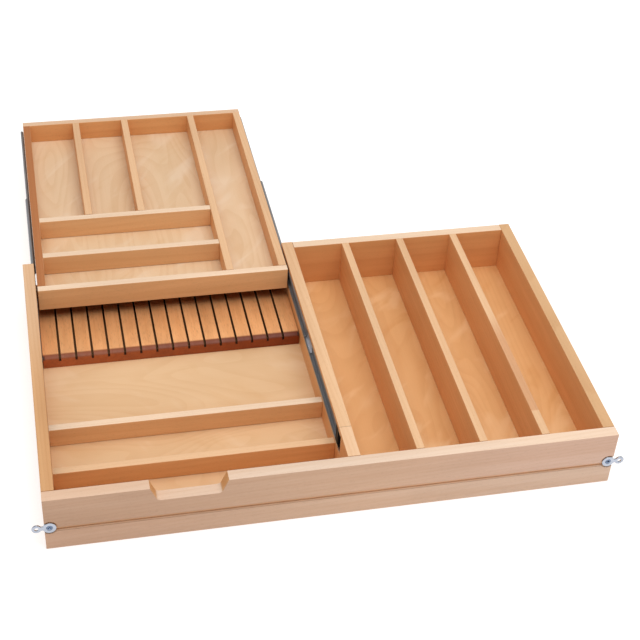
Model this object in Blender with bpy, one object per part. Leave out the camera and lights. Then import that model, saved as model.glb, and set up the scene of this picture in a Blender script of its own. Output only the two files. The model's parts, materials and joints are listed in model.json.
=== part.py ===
"""Two-tier drawer organizer insert.

A wooden box is divided by a centre partition.  Its right bay has four long compartments.  Its left
bay has a knife block and two cross dividers, and above them an upper tray that runs front to back
on a pair of three-member ball-bearing slides let into the bay's walls.  Two figure-8 clips swivel
on the front board.

Metres, +X right, +Y back, +Z up.  The origin is the middle of the front board's underside.
Pieces that travel are placed as they lie with the tray home; their carriages, which are empties,
shift them to the rest pose, with the tray run back.
"""
import math

import bmesh
import bpy
from mathutils import Matrix, Vector

# Overall box
BOX_WIDTH = 0.845
BOX_DEPTH = 0.539
BOX_HEIGHT = 0.098
FRONT_THICKNESS = 0.019
SIDE_THICKNESS = 0.018
PARTITION_THICKNESS = 0.019
BACK_THICKNESS = 0.016
LEFT_BAY_WIDTH = 0.418
LEFT_BACK_CLEAR = 0.005           # from the left bay's back board up to the tray
GAP = 0.0003                      # between pieces that touch

# Floor panels, let into grooves all round
FLOOR_THICKNESS = 0.006
FLOOR_RISE = 0.013                # underside of the panel above the rest plane
FLOOR_TONGUE = 0.005              # how far the panel enters each groove

# Compartment dividers
DIVIDER_THICKNESS = 0.0125
RIGHT_BAY_DIVIDERS = 3
LOWER_DIVIDER_CLEAR = 0.005       # from the lower dividers up to the tray
LOWER_FRONT_DIVIDER_Y = 0.0745    # clear depth of the front channel
LOWER_MIDDLE_DEPTH = 0.0785       # clear depth between the two lower dividers

# Knife block
BLOCK_FRONT_CLEAR = 0.1665        # open space in front of the block
BLOCK_HEIGHT = 0.021
BLOCK_ROUND = 0.006
BLOCK_SIDE_CLEAR = 0.001
KERF_COUNT = 15
KERF_PITCH = 0.0259
KERF_WIDTH = 0.0036
KERF_DEPTH = 0.0145
KERF_FRONT_DEPTH = 0.0085         # where the saw comes out of the front
KERF_RAMP = 0.045

# Hand scoop in the front board's top edge
SCOOP_CENTRE = 0.2045             # from the box's left side
SCOOP_TOP_WIDTH = 0.114
SCOOP_BOTTOM_WIDTH = 0.100
SCOOP_DEPTH = 0.0245
SCOOP_ROUND = 0.007

# Groove along the front face
GROOVE_TOP_DROP = 0.050           # below the top edge
GROOVE_TAPER_HEIGHT = 0.010
GROOVE_TAPER_DEPTH = 0.0025
GROOVE_SLOT_HEIGHT = 0.003
GROOVE_SLOT_DEPTH = 0.006

# Figure-8 clips
CLIP_INSET = 0.0072               # screw axis from the board's end
CLIP_DROP = 0.055                 # screw axis below the top edge
CLIP_BIG_RADIUS = 0.0095
CLIP_SMALL_RADIUS = 0.007
CLIP_SPAN = 0.018                 # between the two ring centres
CLIP_NECK_WIDTH = 0.0066
CLIP_THICKNESS = 0.0024
CLIP_SMALL_HOLE_RADIUS = 0.003
CLIP_HOLE_RADIUS = 0.0026
CLIP_SINK_RADIUS = 0.005
CLIP_RECESS_CLEAR = 0.0025        # around the big ring
CLIP_RECESS_DEPTH = 0.0022
CLIP_SCREW_HEAD_RADIUS = 0.0045
CLIP_SCREW_RADIUS = 0.0017
CLIP_SCREW_LENGTH = 0.014

# Upper tray
TRAY_HEIGHT = 0.040
TRAY_BOARD = 0.013
TRAY_SIDE_CLEAR = 0.003
TRAY_FRONT_CLEAR = 0.0025         # to the front board, with the tray home
TRAY_BACK_CLEAR = 0.0015          # to the box's back, with the tray home
TRAY_FLOOR_THICKNESS = 0.0036
TRAY_FLOOR_LEDGE = 0.007          # rabbet width under each tray board
TRAY_RIGHT_BAY = 0.0765           # clear width right of the long divider
TRAY_FRONT_BAY = 0.0755           # clear depth of the front compartment
TRAY_MIDDLE_BAY = 0.089
TRAY_REAR_BAY_WIDTH = 0.079       # first two rear compartments

# Slides: three nested members, their depth measured from the floor of the groove
SLIDE_HEIGHT = 0.035
SLIDE_THICKNESS = 0.010
SLIDE_LENGTH = 0.457
SLIDE_CENTRE_DROP = 0.0245        # below the box's top edge
SLIDE_FRONT = 0.066               # outer member's front end behind the front face
SLIDE_TRAVEL = 0.457              # full extension
SLIDE_ROOM = 0.0005
STEEL = 0.0011
LIP = 0.0005
OUTER_BACK = 0.0003
MIDDLE_BACK = 0.0024
MIDDLE_FRONT = 0.0076
INNER_TIP = 0.0044
MIDDLE_STEP = 0.0031              # from the outer member's flange to the middle one's, across the balls
INNER_STEP = 0.0029               # from the middle member's flange to the inner one's
BUMPER_START = 0.018
BUMPER_LENGTH = 0.023
BUMPER_CLEAR = 0.003
BUMPER_RECESS = 0.0004            # below the board's face
BUMPER_CHAMFER = 0.003
BUMPER_DROP = 0.0013              # of its chamfered ends
MIDDLE_TAIL = 0.001               # past the outer member's back end, with the tray home
INNER_TAIL = 0.009
CAGE_STEEL = 0.0004
OUTER_CAGE_LENGTH = 0.232
INNER_CAGE_LENGTH = 0.180
BALL_CLEAR = 0.00035
OUTER_CAGE_BALLS = 8
INNER_CAGE_BALLS = 6
OUTER_BALL_DEPTH = 0.0046
INNER_BALL_DEPTH = 0.0057
CAGE_REACH = 0.6                  # how far its arms pass the balls' centres, in ball radii
OUTER_CAGE_LEAD = 0.018           # how far it stands in front of the middle of its overlap
SLIDE_SCREW_STATIONS = (0.009, 0.225, 0.432)    # from the outer member's front end
INNER_SCREW_INSET = 0.035
SCREW_RADIUS = 0.0016
SCREW_HEAD_RADIUS = 0.0032
SCREW_HEAD_HEIGHT = 0.0018
SCREW_CROWN_HEIGHT = 0.0006
SCREW_CROWN_RADIUS = 0.0022
SCREW_LENGTH = 0.009
SCREW_CLEAR = 0.0004

# Rest pose: how much of its travel the tray has left, and each carriage's share of that travel
REST_LEFT = 0.0145
MIDDLE_SHARE = 0.5
OUTER_CAGE_SHARE = 0.25
INNER_CAGE_SHARE = 0.75

ROUND_STEPS = 24                  # sides of the larger round shapes
SMALL_STEPS = 16
ARC_STEPS = 6                     # in a corner's arc
BIG_RING_STEPS = 28
SMALL_RING_STEPS = 22
CUT_PAST = 0.01                   # how far a cutter runs past what it cuts

# Places worked out from the sizes above
LEFT = -BOX_WIDTH / 2
RIGHT = BOX_WIDTH / 2
FRONT = -FRONT_THICKNESS / 2
INSIDE = FRONT_THICKNESS / 2
BACK = FRONT + BOX_DEPTH
BAY_LEFT = LEFT + SIDE_THICKNESS
BAY_RIGHT = BAY_LEFT + LEFT_BAY_WIDTH
RIGHT_BAY_LEFT = BAY_RIGHT + PARTITION_THICKNESS
RIGHT_BAY_RIGHT = RIGHT - SIDE_THICKNESS
BACK_INSIDE = BACK - BACK_THICKNESS
FLOOR_TOP = FLOOR_RISE + FLOOR_THICKNESS
TRAY_LEFT = BAY_LEFT + TRAY_SIDE_CLEAR
TRAY_RIGHT = BAY_RIGHT - TRAY_SIDE_CLEAR
TRAY_FRONT = INSIDE + TRAY_FRONT_CLEAR
TRAY_BACK = BACK - TRAY_BACK_CLEAR
TRAY_BOTTOM = BOX_HEIGHT - TRAY_HEIGHT
TRAY_FLOOR_TOP = TRAY_BOTTOM + TRAY_FLOOR_THICKNESS
LEFT_BACK_TOP = TRAY_BOTTOM - LEFT_BACK_CLEAR
LOWER_DIVIDER_TOP = TRAY_BOTTOM - LOWER_DIVIDER_CLEAR
SLIDE_CENTRE = BOX_HEIGHT - SLIDE_CENTRE_DROP
SLIDE_START = FRONT + SLIDE_FRONT
SLIDE_END = SLIDE_START + SLIDE_LENGTH
BUMPER_END = SLIDE_START + BUMPER_START + BUMPER_LENGTH
GROOVE_DEPTH = SLIDE_THICKNESS - TRAY_SIDE_CLEAR
MEMBER_START = BUMPER_END + BUMPER_CLEAR
REST_SLIDE = SLIDE_TRAVEL - REST_LEFT
CLIP_RECESS_RADIUS = CLIP_BIG_RADIUS + CLIP_RECESS_CLEAR
FACING_FRONT = Matrix.Rotation(math.radians(90.0), 4, "X")


def clear_scene():
    for item in list(bpy.data.objects):
        bpy.data.objects.remove(item, do_unlink=True)


def principled(name, colour, roughness, metallic=0.0):
    material = bpy.data.materials.new(name)
    material.use_nodes = True
    shader = material.node_tree.nodes["Principled BSDF"]
    shader.inputs["Base Color"].default_value = (*colour, 1.0)
    shader.inputs["Roughness"].default_value = roughness
    shader.inputs["Metallic"].default_value = metallic
    material.diffuse_color = (*colour, 1.0)
    return material


WOODS = {
    "beech": (0.74, 0.50, 0.32),
    "warm_beech": (0.62, 0.33, 0.15),
    "birch_ply": (0.76, 0.55, 0.34),
    "cherry": (0.52, 0.24, 0.10),
}
ZINC = (0.55, 0.56, 0.58)
BRIGHT_ZINC = (0.78, 0.79, 0.82)
BLACK_PLASTIC = (0.02, 0.02, 0.02)


def wood(name, kind):
    return principled(f"{name}_wood", WOODS[kind], 0.5)


def steel(name, colour=ZINC):
    return principled(f"{name}_steel", colour, 0.35, 1.0)


def place(name, shape, location, material, parent=None):
    """Turn a bmesh into a named object whose origin is at location."""
    bmesh.ops.recalc_face_normals(shape, faces=shape.faces)
    mesh = bpy.data.meshes.new(name)
    shape.to_mesh(mesh)
    shape.free()
    item = bpy.data.objects.new(name, mesh)
    bpy.context.scene.collection.objects.link(item)
    item.location = location
    item.parent = parent
    if material:
        mesh.materials.append(material)
    return item


def cuboid_shape(size):
    shape = bmesh.new()
    bmesh.ops.create_cube(shape, size=1.0, matrix=Matrix.Diagonal((*size, 1.0)))
    return shape


def board(name, low, high, material, parent=None):
    low = Vector(low)
    high = Vector(high)
    return place(name, cuboid_shape(high - low), (low + high) / 2, material, parent)


def prism_shape(outline, axis, start, end, shape=None):
    """Extrude an outline along an axis.  It is drawn in YZ for X, in XZ for Y and in XY for Z."""
    shape = shape or bmesh.new()

    def corner(point, along):
        if axis == "X":
            return (along, point[0], point[1])
        if axis == "Y":
            return (point[0], along, point[1])
        return (point[0], point[1], along)

    first = [shape.verts.new(corner(point, start)) for point in outline]
    second = [shape.verts.new(corner(point, end)) for point in outline]
    shape.faces.new(first)
    shape.faces.new(reversed(second))
    count = len(outline)
    for index in range(count):
        after = (index + 1) % count
        shape.faces.new((first[after], first[index], second[index], second[after]))
    return shape


def turned_shape(profile, steps, shape=None, turn=Matrix()):
    """Revolve (radius, height) points about Z.  The profile starts and ends on the axis."""
    shape = shape or bmesh.new()
    rings = []
    for radius, height in profile:
        if radius == 0.0:
            rings.append([shape.verts.new(turn @ Vector((0.0, 0.0, height)))])
            continue
        ring = []
        for step in range(steps):
            angle = 2.0 * math.pi * step / steps
            point = Vector((radius * math.cos(angle), radius * math.sin(angle), height))
            ring.append(shape.verts.new(turn @ point))
        rings.append(ring)
    for lower, upper in zip(rings, rings[1:]):
        for step in range(steps):
            after = (step + 1) % steps
            corners = [lower[step % len(lower)], lower[after % len(lower)],
                       upper[after % len(upper)], upper[step % len(upper)]]
            shape.faces.new(list(dict.fromkeys(corners)))
    return shape


def smooth(item, degrees=35.0):
    item.data.shade_smooth()
    item.data.set_sharp_from_angle(angle=math.radians(degrees))


def guide(item):
    item.hide_render = True
    item.display_type = "WIRE"
    return item


def combine(target, tool, operation):
    modifier = target.modifiers.new(tool.name, "BOOLEAN")
    modifier.operation = operation
    modifier.solver = "EXACT"
    modifier.object = tool


def cut(tool, *targets):
    guide(tool)
    for target in targets:
        combine(target, tool, "DIFFERENCE")


def arc(centre, radius, start, end, steps):
    """Points on an arc, its angles in degrees."""
    points = []
    for step in range(steps + 1):
        angle = math.radians(start + (end - start) * step / steps)
        points.append((centre[0] + radius * math.cos(angle), centre[1] + radius * math.sin(angle)))
    return points


def carriage(name, share):
    """An empty that carries travelling pieces from home to the rest pose."""
    empty = bpy.data.objects.new(name, None)
    empty.empty_display_size = 0.05
    empty.location = (0.0, REST_SLIDE * share, 0.0)
    bpy.context.scene.collection.objects.link(empty)
    return empty


# ---------------------------------------------------------------- box

def make_box():
    boards = {
        "front": board("front_board", (LEFT, FRONT, 0.0), (RIGHT, INSIDE, BOX_HEIGHT),
                       wood("front_board", "beech")),
        "left": board("left_side_board", (LEFT, INSIDE + GAP, 0.0), (BAY_LEFT, BACK, BOX_HEIGHT),
                      wood("left_side_board", "beech")),
        "right": board("right_side_board", (RIGHT_BAY_RIGHT, INSIDE + GAP, 0.0),
                       (RIGHT, BACK, BOX_HEIGHT), wood("right_side_board", "beech")),
        "partition": board("center_partition", (BAY_RIGHT, INSIDE + GAP, 0.0),
                           (RIGHT_BAY_LEFT, BACK, BOX_HEIGHT), wood("center_partition", "beech")),
        "left_back": board("left_back_board", (BAY_LEFT + GAP, BACK_INSIDE, 0.0),
                           (BAY_RIGHT - GAP, BACK, LEFT_BACK_TOP),
                           wood("left_back_board", "warm_beech")),
        "right_back": board("right_back_board", (RIGHT_BAY_LEFT + GAP, BACK_INSIDE, 0.0),
                            (RIGHT_BAY_RIGHT - GAP, BACK, BOX_HEIGHT),
                            wood("right_back_board", "warm_beech")),
    }
    cut_front_board(boards["front"])
    make_floor("left", BAY_LEFT, BAY_RIGHT,
               [boards[key] for key in ("front", "left", "partition", "left_back")])
    make_floor("right", RIGHT_BAY_LEFT, RIGHT_BAY_RIGHT,
               [boards[key] for key in ("front", "partition", "right", "right_back")])
    return boards


def make_floor(side, bay_left, bay_right, around):
    """A floor panel, and the groove that it needs in each board around it."""
    low = Vector((bay_left - FLOOR_TONGUE, INSIDE - FLOOR_TONGUE, FLOOR_RISE))
    high = Vector((bay_right + FLOOR_TONGUE, BACK_INSIDE + FLOOR_TONGUE, FLOOR_TOP))
    board(f"{side}_floor_panel", low, high, wood(f"{side}_floor_panel", "birch_ply"))
    room = Vector((GAP, GAP, GAP))
    cut(board(f"{side}_floor_groove", low - room, high + room, None), *around)


def cut_front_board(front):
    cut(place("scoop_cutter", scoop_shape(), (0.0, 0.0, 0.0), None), front)
    cut(place("face_groove_cutter", face_groove_shape(), (0.0, 0.0, 0.0), None), front)
    for side, sign in (("left", -1.0), ("right", 1.0)):
        profile = [(0.0, -CLIP_RECESS_DEPTH), (CLIP_RECESS_RADIUS, -CLIP_RECESS_DEPTH),
                   (CLIP_RECESS_RADIUS, CLIP_RECESS_DEPTH), (0.0, CLIP_RECESS_DEPTH)]
        recess = turned_shape(profile, ROUND_STEPS, turn=FACING_FRONT)
        drill = turned_shape(clip_screw_profile(GAP), ROUND_STEPS, turn=FACING_FRONT)
        centre = clip_centre(sign)
        cut(place(f"{side}_clip_recess", recess, centre, None), front)
        cut(place(f"{side}_clip_pilot", drill, centre, None), front)


def scoop_shape():
    """A trough with sloping ends and round lower corners, through the board."""
    centre = LEFT + SCOOP_CENTRE
    bottom = BOX_HEIGHT - SCOOP_DEPTH
    lean = math.degrees(math.atan2((SCOOP_TOP_WIDTH - SCOOP_BOTTOM_WIDTH) / 2, SCOOP_DEPTH))
    inset = SCOOP_ROUND * math.tan(math.radians(45.0 + lean / 2))
    corner = SCOOP_BOTTOM_WIDTH / 2 - inset
    over = BOX_HEIGHT + CUT_PAST
    half_over = SCOOP_TOP_WIDTH / 2 + CUT_PAST * math.tan(math.radians(lean))
    outline = [(centre + half_over, over), (centre - half_over, over)]
    outline += arc((centre - corner, bottom + SCOOP_ROUND), SCOOP_ROUND, 180.0 + lean, 270.0, ARC_STEPS)
    outline += arc((centre + corner, bottom + SCOOP_ROUND), SCOOP_ROUND, 270.0, 360.0 - lean, ARC_STEPS)
    return prism_shape(outline, "Y", FRONT - CUT_PAST, INSIDE + CUT_PAST)


def face_groove_shape():
    """A groove along the front face: a tapering upper part above a narrow deep slot."""
    top = BOX_HEIGHT - GROOVE_TOP_DROP
    slot_top = top - GROOVE_TAPER_HEIGHT
    slot_bottom = slot_top - GROOVE_SLOT_HEIGHT
    rise = CUT_PAST * GROOVE_TAPER_HEIGHT / GROOVE_TAPER_DEPTH
    outline = [
        (FRONT - CUT_PAST, top + rise),
        (FRONT + GROOVE_TAPER_DEPTH, slot_top),
        (FRONT + GROOVE_SLOT_DEPTH, slot_top),
        (FRONT + GROOVE_SLOT_DEPTH, slot_bottom),
        (FRONT - CUT_PAST, slot_bottom),
    ]
    return prism_shape(outline, "X", LEFT - CUT_PAST, RIGHT + CUT_PAST)


# ---------------------------------------------------------------- fixed fittings of the bays

def make_right_dividers():
    bay = RIGHT_BAY_RIGHT - RIGHT_BAY_LEFT
    clear = (bay - RIGHT_BAY_DIVIDERS * DIVIDER_THICKNESS) / (RIGHT_BAY_DIVIDERS + 1)
    for index in range(RIGHT_BAY_DIVIDERS):
        name = f"right_bay_divider_{index + 1}"
        left = RIGHT_BAY_LEFT + clear + index * (clear + DIVIDER_THICKNESS)
        board(name, (left, INSIDE + GAP, FLOOR_TOP + GAP),
              (left + DIVIDER_THICKNESS, BACK_INSIDE - GAP, BOX_HEIGHT), wood(name, "warm_beech"))


def make_lower_dividers():
    """The two cross dividers of the left bay.  Returns the rear one's back face."""
    y = INSIDE + LOWER_FRONT_DIVIDER_Y
    for name in ("lower_front_divider", "lower_rear_divider"):
        board(name, (BAY_LEFT + GAP, y, FLOOR_TOP + GAP),
              (BAY_RIGHT - GAP, y + DIVIDER_THICKNESS, LOWER_DIVIDER_TOP),
              wood(name, "warm_beech"))
        back_face = y + DIVIDER_THICKNESS
        y = back_face + LOWER_MIDDLE_DEPTH
    return back_face


def make_knife_block(front):
    """A block with a rounded front top edge and saw kerfs that ramp up to its front face."""
    back = BACK_INSIDE - GAP
    bottom = FLOOR_TOP + GAP
    top = FLOOR_TOP + BLOCK_HEIGHT
    outline = [(front, bottom), (back, bottom), (back, top)]
    outline += arc((front + BLOCK_ROUND, top - BLOCK_ROUND), BLOCK_ROUND, 90.0, 180.0, ARC_STEPS)
    shape = prism_shape(outline, "X", BAY_LEFT + BLOCK_SIDE_CLEAR, BAY_RIGHT - BLOCK_SIDE_CLEAR)
    block = place("knife_block", shape, (0.0, 0.0, 0.0), wood("knife_block", "cherry"))

    floor = top - KERF_DEPTH
    rise = KERF_DEPTH - KERF_FRONT_DEPTH
    ramp = []
    for step in range(ARC_STEPS + 1):
        share = 1.0 - step / ARC_STEPS
        ramp.append((front + KERF_RAMP * (1.0 - share), floor + rise * share * share))
    kerf = [(front - CUT_PAST, ramp[0][1]), *ramp, (back + CUT_PAST, floor),
            (back + CUT_PAST, top + CUT_PAST), (front - CUT_PAST, top + CUT_PAST)]
    saw = bmesh.new()
    middle = (BAY_LEFT + BAY_RIGHT) / 2
    for index in range(KERF_COUNT):
        centre = middle + (index - (KERF_COUNT - 1) / 2) * KERF_PITCH
        prism_shape(kerf, "X", centre - KERF_WIDTH / 2, centre + KERF_WIDTH / 2, saw)
    cut(place("kerf_cutter", saw, (0.0, 0.0, 0.0), None), block)


# ---------------------------------------------------------------- figure-8 clips

def clip_centre(sign):
    """Where a clip's screw axis meets the front face.  sign is -1 at the left end, 1 at the right."""
    return Vector((sign * (BOX_WIDTH / 2 - CLIP_INSET), FRONT, BOX_HEIGHT - CLIP_DROP))


def clip_screw_profile(grow=0.0):
    """The clip's countersunk screw, or with grow the hole that it needs."""
    face = CLIP_THICKNESS - CLIP_RECESS_DEPTH
    slope = (CLIP_SINK_RADIUS - CLIP_HOLE_RADIUS) / CLIP_THICKNESS
    neck = face - (CLIP_SCREW_HEAD_RADIUS - CLIP_SCREW_RADIUS) / slope
    tip = -CLIP_SCREW_LENGTH - grow
    return [(0.0, tip), (CLIP_SCREW_RADIUS + grow, tip), (CLIP_SCREW_RADIUS + grow, neck),
            (CLIP_SCREW_HEAD_RADIUS + grow, face), (0.0, face)]


def clip_outline(sign):
    """Two rings and the neck between them, the small ring pointing away from the box."""
    neck = CLIP_NECK_WIDTH / 2
    big = math.degrees(math.asin(neck / CLIP_BIG_RADIUS))
    small = math.degrees(math.asin(neck / CLIP_SMALL_RADIUS))
    outline = arc((0.0, 0.0), CLIP_BIG_RADIUS, big, 360.0 - big, BIG_RING_STEPS)
    outline += arc((CLIP_SPAN, 0.0), CLIP_SMALL_RADIUS, small - 180.0, 180.0 - small, SMALL_RING_STEPS)
    return [(sign * x, z) for x, z in outline]


def make_clip(side, sign):
    centre = clip_centre(sign)
    back = CLIP_RECESS_DEPTH - GAP
    front = back - CLIP_THICKNESS
    shape = prism_shape(clip_outline(sign), "Y", front, back)
    clip = place(f"{side}_figure8_clip", shape, centre, steel(f"{side}_figure8_clip", BRIGHT_ZINC))
    below = -back - CUT_PAST
    above = -front + CUT_PAST
    slope = (CLIP_SINK_RADIUS - CLIP_HOLE_RADIUS) / CLIP_THICKNESS
    sink = [(0.0, below), (CLIP_HOLE_RADIUS, below), (CLIP_HOLE_RADIUS, -back),
            (CLIP_SINK_RADIUS + slope * CUT_PAST, above), (0.0, above)]
    eye = [(0.0, below), (CLIP_SMALL_HOLE_RADIUS, below), (CLIP_SMALL_HOLE_RADIUS, above), (0.0, above)]
    holes = turned_shape(sink, ROUND_STEPS, turn=FACING_FRONT)
    turned_shape(eye, SMALL_STEPS, holes, Matrix.Translation((sign * CLIP_SPAN, 0.0, 0.0)) @ FACING_FRONT)
    cut(place(f"{side}_clip_holes", holes, centre, None), clip)
    smooth(clip)

    shape = turned_shape(clip_screw_profile(), ROUND_STEPS, turn=FACING_FRONT)
    screw = place(f"{side}_clip_screw", shape, centre, steel(f"{side}_clip_screw"))
    smooth(screw)


# ---------------------------------------------------------------- upper tray

def make_tray(parent):
    """Four boards, a bottom panel let into their undersides, and five dividers."""
    top = BOX_HEIGHT
    inner_left = TRAY_LEFT + TRAY_BOARD
    inner_right = TRAY_RIGHT - TRAY_BOARD
    inner_front = TRAY_FRONT + TRAY_BOARD
    inner_back = TRAY_BACK - TRAY_BOARD
    boards = [
        board("tray_front_board", (TRAY_LEFT, TRAY_FRONT, TRAY_BOTTOM), (TRAY_RIGHT, inner_front, top),
              wood("tray_front_board", "beech"), parent),
        board("tray_back_board", (TRAY_LEFT, inner_back, TRAY_BOTTOM), (TRAY_RIGHT, TRAY_BACK, top),
              wood("tray_back_board", "beech"), parent),
        board("tray_left_board", (TRAY_LEFT, inner_front + GAP, TRAY_BOTTOM),
              (inner_left, inner_back - GAP, top), wood("tray_left_board", "warm_beech"), parent),
        board("tray_right_board", (inner_right, inner_front + GAP, TRAY_BOTTOM),
              (TRAY_RIGHT, inner_back - GAP, top), wood("tray_right_board", "beech"), parent),
    ]
    ledge = Vector((TRAY_FLOOR_LEDGE, TRAY_FLOOR_LEDGE, 0.0))
    low = Vector((inner_left, inner_front, TRAY_BOTTOM)) - ledge
    high = Vector((inner_right, inner_back, TRAY_FLOOR_TOP)) + ledge
    board("tray_bottom_panel", low, high, wood("tray_bottom_panel", "birch_ply"), parent)
    room = Vector((GAP, GAP, GAP))
    below = Vector((0.0, 0.0, -CUT_PAST))
    cut(board("tray_floor_rabbet", low - room + below, high + room, None, parent), *boards)

    floor = TRAY_FLOOR_TOP + GAP
    long_right = inner_right - TRAY_RIGHT_BAY
    long_left = long_right - DIVIDER_THICKNESS
    front_cross = inner_front + TRAY_FRONT_BAY
    rear_cross = front_cross + DIVIDER_THICKNESS + TRAY_MIDDLE_BAY
    left_rear = inner_left + TRAY_REAR_BAY_WIDTH
    right_rear = left_rear + DIVIDER_THICKNESS + TRAY_REAR_BAY_WIDTH
    spans = {
        "tray_long_divider": (long_left, long_right, inner_front + GAP, inner_back - GAP),
        "tray_front_cross_divider": (inner_left + GAP, long_left - GAP, front_cross,
                                     front_cross + DIVIDER_THICKNESS),
        "tray_rear_cross_divider": (inner_left + GAP, long_left - GAP, rear_cross,
                                    rear_cross + DIVIDER_THICKNESS),
        "tray_left_rear_divider": (left_rear, left_rear + DIVIDER_THICKNESS,
                                   rear_cross + DIVIDER_THICKNESS + GAP, inner_back - GAP),
        "tray_right_rear_divider": (right_rear, right_rear + DIVIDER_THICKNESS,
                                    rear_cross + DIVIDER_THICKNESS + GAP, inner_back - GAP),
    }
    for name, (left, right, front, back) in spans.items():
        board(name, (left, front, floor), (right, back, top), wood(name, "beech"), parent)
    return {"left": boards[2], "right": boards[3]}


# ---------------------------------------------------------------- slides

class SlideSide:
    """Turns a depth from the groove's floor into X, for either wall of the left bay."""

    def __init__(self, name):
        self.name = name
        self.sign = 1.0 if name == "left" else -1.0
        wall = BAY_LEFT if name == "left" else BAY_RIGHT
        self.groove_floor = wall - self.sign * GROOVE_DEPTH

    def x(self, depth):
        return self.groove_floor + self.sign * depth


def channel_outline(side, back, front, half_height, web, lip):
    """A C section, its web at depth back and its lipped flanges reaching depth front."""
    inner = half_height - STEEL
    turn = 1.0 if front > back else -1.0
    web_face = back + turn * web
    lip_start = front - turn * 2 * lip
    upper = [(back, half_height), (front, half_height), (front, inner - lip), (lip_start, inner - lip),
             (lip_start, inner), (web_face, inner)]
    lower = [(depth, -height) for depth, height in reversed(upper)]
    return [(side.x(depth), SLIDE_CENTRE + height) for depth, height in upper + lower]


def make_cage(side, name, back, half_height, ball_depth, ball_radius, count, start, length, parent):
    """A thin C strip that holds a row of balls above and below the inner member."""
    arm = CAGE_STEEL / 2
    tip = ball_depth + ball_radius * CAGE_REACH
    upper = [(back, half_height + arm), (tip, half_height + arm), (tip, half_height - arm),
             (back + CAGE_STEEL, half_height - arm)]
    lower = [(depth, -height) for depth, height in reversed(upper)]
    outline = [(side.x(depth), SLIDE_CENTRE + height) for depth, height in upper + lower]
    cage = place(name, prism_shape(outline, "Y", start, start + length), (0.0, 0.0, 0.0), steel(name),
                 parent)
    balls = bmesh.new()
    pitch = length / count
    for row in (-1.0, 1.0):
        for index in range(count):
            centre = (side.x(ball_depth), start + pitch * (index + 0.5), SLIDE_CENTRE + row * half_height)
            bmesh.ops.create_icosphere(balls, subdivisions=1, radius=ball_radius,
                                       matrix=Matrix.Translation(centre))
    row_of_balls = guide(place(f"{name}_balls", balls, (0.0, 0.0, 0.0), None, parent))
    combine(cage, row_of_balls, "UNION")


def screw_at(name, side, head_depth, y, z, towards_wall, countersunk, parent):
    """A wood screw along X.  head_depth is the depth of its head's outer face."""
    if countersunk:
        profile = [(0.0, -SCREW_LENGTH), (SCREW_RADIUS, -SCREW_LENGTH),
                   (SCREW_RADIUS, -STEEL + GAP), (SCREW_HEAD_RADIUS, -GAP), (0.0, -GAP)]
    else:
        profile = [(0.0, -SCREW_LENGTH), (SCREW_RADIUS, -SCREW_LENGTH),
                   (SCREW_RADIUS, -SCREW_HEAD_HEIGHT), (SCREW_HEAD_RADIUS, -SCREW_HEAD_HEIGHT),
                   (SCREW_HEAD_RADIUS, -SCREW_CROWN_HEIGHT), (SCREW_CROWN_RADIUS, 0.0), (0.0, 0.0)]
    outward = side.sign if towards_wall else -side.sign
    turn = Matrix.Rotation(math.radians(90.0 * outward), 4, "Y")
    screw = place(name, turned_shape(profile, SMALL_STEPS, turn=turn), (side.x(head_depth), y, z),
                  steel(name, BRIGHT_ZINC), parent)
    smooth(screw)


def screw_holes(name, side, depths, stations, radius, parent):
    """One cutter with a round bar at each station, between two depths."""
    bars = bmesh.new()
    turn = Matrix.Rotation(math.radians(90.0), 4, "Y")
    low, high = sorted((side.x(depths[0]), side.x(depths[1])))
    for y in stations:
        profile = [(0.0, low), (radius, low), (radius, high), (0.0, high)]
        turned_shape(profile, SMALL_STEPS, bars, Matrix.Translation((0.0, y, SLIDE_CENTRE)) @ turn)
    return place(name, bars, (0.0, 0.0, 0.0), None, parent)


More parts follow.
